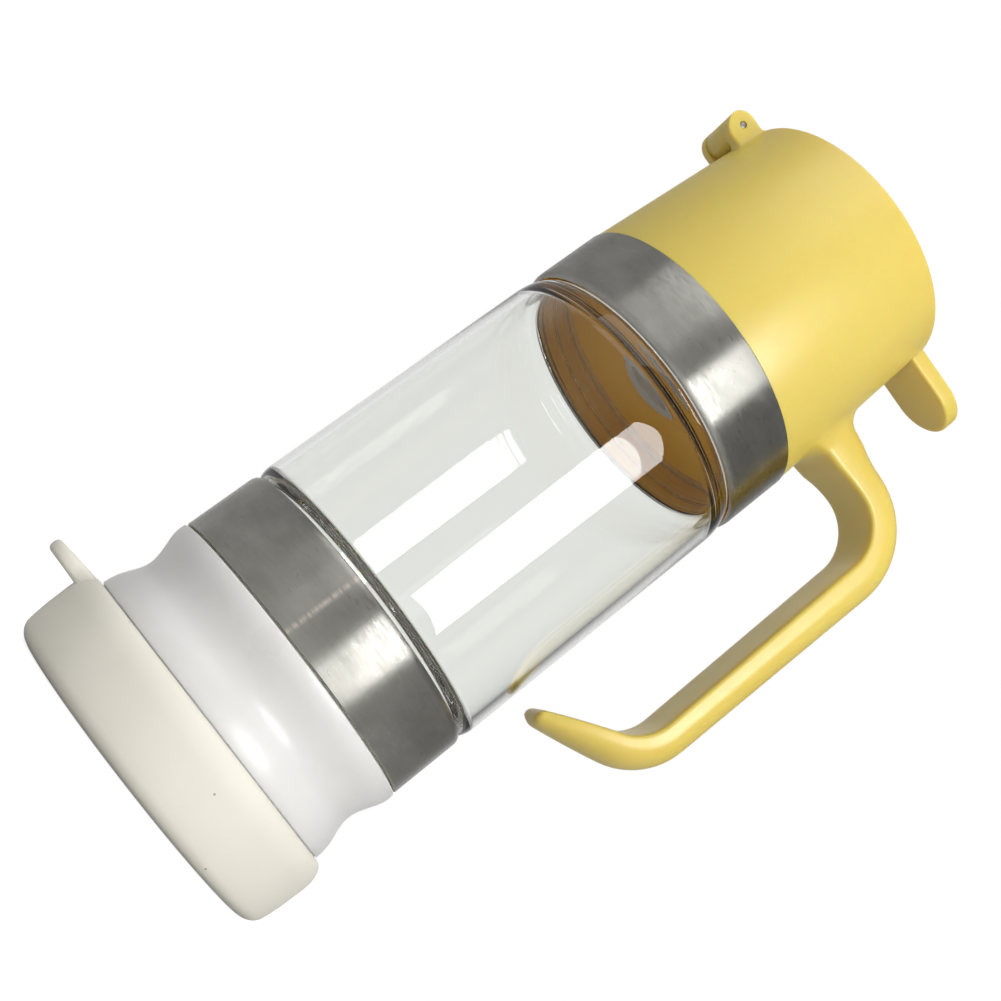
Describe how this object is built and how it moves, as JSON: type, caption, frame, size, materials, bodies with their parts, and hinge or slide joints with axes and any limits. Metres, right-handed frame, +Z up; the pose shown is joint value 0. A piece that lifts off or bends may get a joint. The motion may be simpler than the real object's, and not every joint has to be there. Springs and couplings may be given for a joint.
{
  "type": "honey dispenser",
  "caption": "honey dispenser: clear glass tube between steel bands, yellow hinged-lid head with a hook handle, translucent squeeze bulb with a slit valve, in a cream base cap",
  "frame": {"origin": "on the bottle's axis at the underside of the base cap", "axes": "+Z up along the bottle's axis, +X towards the handle and the lid's thumb tab, -X towards the lid's hinge and the base cap's pull tab"},
  "size_m": [0.1266, 0.0828, 0.2119],
  "materials": {
    "cream_silicone": "matte cream silicone",
    "clear_silicone": "milky translucent silicone",
    "seal_silicone": "pale grey silicone",
    "white_plastic": "natural plastic",
    "yellow_plastic": "satin yellow plastic",
    "band_steel": "brushed round the band",
    "pin_steel": "drawn steel wire",
    "clear_glass": "clear glass"
  },
  "bodies": {
    "base": {"base_cap": "cream_silicone"},
    "foot_unit": {"squeeze_bulb": "clear_silicone", "outlet_valve": "seal_silicone", "valve_ring": "white_plastic", "lower_collar": "yellow_plastic", "lower_band": "band_steel"},
    "jar": {"glass_tube": "clear_glass"},
    "head": {"head_shell": "yellow_plastic", "upper_collar": "yellow_plastic", "upper_band": "band_steel", "upper_gasket": "seal_silicone", "port_valve": "seal_silicone", "hinge_pin": "pin_steel"},
    "lid": {"lid": "yellow_plastic", "lid_seal": "seal_silicone"}
  },
  "joints": [
    {"name": "base_lift", "type": "slide", "parent": "base", "child": "foot_unit", "axis": [0, 0, 1], "range_m": [0, 0.022]},
    {"name": "foot_unscrew", "type": "slide", "parent": "foot_unit", "child": "jar", "axis": [0, 0, 1], "range_m": [0, 0.012]},
    {"name": "head_unscrew", "type": "slide", "parent": "jar", "child": "head", "axis": [0, 0, 1], "range_m": [0, 0.012]},
    {"name": "lid_hinge", "type": "hinge", "parent": "head", "child": "lid", "pos_m": [-0.0383, 0, 0.2057], "axis": [0, -1, 0], "range_deg": [0, 110]}
  ]
}
